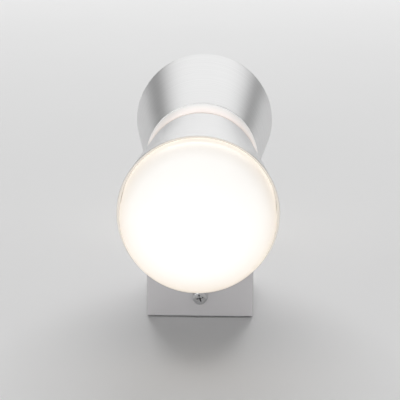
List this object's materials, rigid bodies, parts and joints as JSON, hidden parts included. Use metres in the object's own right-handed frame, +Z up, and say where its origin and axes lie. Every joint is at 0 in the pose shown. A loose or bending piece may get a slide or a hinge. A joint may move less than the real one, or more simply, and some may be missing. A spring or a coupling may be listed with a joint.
{
  "type": "pivoting spotlight wall light",
  "caption": "Wall light with an hourglass brushed metal head, opal domes at both ends and a lit ring at the waist, that swivels on a short neck in front of a square wall box.",
  "frame": {"origin": "middle of the wall plate's back face, midway between its two wall-screw slots, in the plane of the wall", "axes": "+Z up, +X to the right for someone facing the wall, +Y into the wall: the light stands on the -Y side"},
  "size_m": [0.08, 0.1185, 0.2444],
  "materials": {
    "brushed_aluminium": "finely brushed round its axis, clear anodised",
    "grey_metal": "satin",
    "opal_diffuser": "opal, satin, lit from inside",
    "chrome_screw": "polished",
    "cast_aluminium": "as turned",
    "zinc_steel": "zinc plated",
    "brass": "bare",
    "black_rubber": "matte",
    "white_silicone": "matte",
    "white_plastic": "matte",
    "nylon": "waxy",
    "white_board": "solder-resist white",
    "green_board": "solder-resist green",
    "dark_parts": "moulded",
    "led_phosphor": "warm white LEDs",
    "white_cable": "PVC sleeve",
    "brown_lead": "PVC insulation"
  },
  "bodies": {
    "wall_base": {"wall_plate": "zinc_steel", "cable_grommet": "black_rubber", "terminal_block": "white_plastic", "terminal_screws": "brass", "block_screws": "zinc_steel", "earth_screw": "brass", "earth_washer": "zinc_steel", "driver_case": "white_plastic", "driver_lid": "white_plastic", "driver_board": "green_board", "driver_parts": "dark_parts", "driver_screws": "zinc_steel", "mains_leads": "brown_lead", "box_cover": "grey_metal", "cover_screws": "chrome_screw", "neck_collar": "grey_metal", "collar_nut": "zinc_steel", "stop_pin": "zinc_steel", "swivel_bush": "nylon"},
    "head": {"neck_spigot": "grey_metal", "swivel_tube": "zinc_steel", "stop_washer": "zinc_steel", "spring_washer": "zinc_steel", "lock_nut": "zinc_steel", "head_cable": "white_cable", "lead_connector": "white_plastic", "waist_hub": "cast_aluminium", "hub_lid": "cast_aluminium", "hub_screws": "zinc_steel", "splice_block": "white_plastic", "light_ring": "opal_diffuser", "waist_seals": "white_silicone", "ring_led_strip": "white_board", "ring_leds": "led_phosphor", "upper_cone": "brushed_aluminium", "upper_diffuser": "opal_diffuser", "upper_gasket": "white_silicone", "upper_heat_sink": "cast_aluminium", "upper_tie_screw": "zinc_steel", "upper_led_board": "white_board", "upper_leds": "led_phosphor", "upper_board_screws": "zinc_steel", "upper_lead": "white_cable", "lower_cone": "brushed_aluminium", "lower_diffuser": "opal_diffuser", "lower_gasket": "white_silicone", "lower_heat_sink": "cast_aluminium", "lower_tie_screw": "zinc_steel", "lower_led_board": "white_board", "lower_leds": "led_phosphor", "lower_board_screws": "zinc_steel", "lower_lead": "white_cable"}
  },
  "joints": [
    {"name": "head_swivel", "type": "hinge", "parent": "wall_base", "child": "head", "pos_m": [0, -0.0785, 0], "axis": [0, 1, 0], "range_deg": [-165, 165]}
  ]
}
